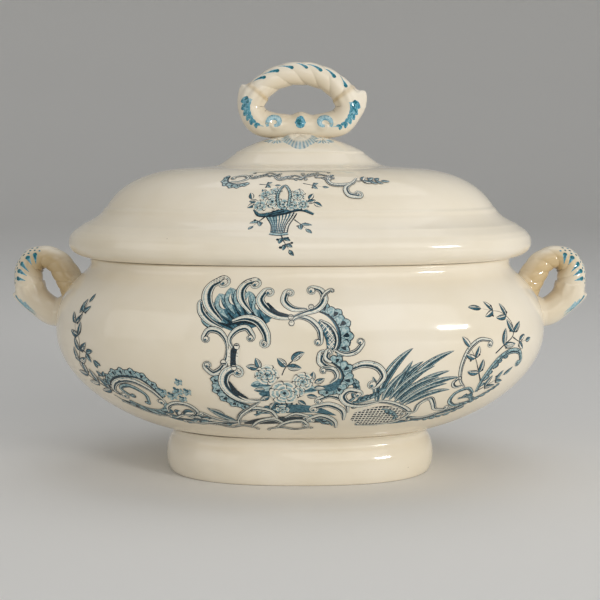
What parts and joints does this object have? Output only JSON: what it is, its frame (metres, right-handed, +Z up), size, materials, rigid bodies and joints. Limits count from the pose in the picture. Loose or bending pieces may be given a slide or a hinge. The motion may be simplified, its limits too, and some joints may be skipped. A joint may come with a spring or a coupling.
{
  "type": "soup tureen",
  "caption": "Covered oval soup tureen in glazed earthenware with a bulbous bowl, hollow flared foot, two ear handles, and a stepped domed lid with a rope-twist loop handle.",
  "frame": {"origin": "centre of the foot's standing ring, on the table surface", "axes": "+Z up, +X along the bowl's length towards one ear handle, -Y towards the front with the main printed side"},
  "size_m": [0.3504, 0.2036, 0.2469],
  "materials": {
    "ivory_glaze": "glossy ivory lead glaze over cream earthenware",
    "tinted_glaze": "glossy glaze over hand-tinted relief"
  },
  "bodies": {
    "bowl": {"bowl": "ivory_glaze", "foot": "ivory_glaze", "handle_right": "ivory_glaze", "handle_left": "ivory_glaze"},
    "lid": {"lid": "ivory_glaze", "lid_flange": "ivory_glaze", "lid_handle": "ivory_glaze", "sprig_front": "tinted_glaze", "sprig_back": "tinted_glaze"}
  },
  "joints": [
    {"name": "lid_lift", "type": "slide", "parent": "bowl", "child": "lid", "axis": [0, 0, 1], "range_m": [0, 0.15]}
  ]
}
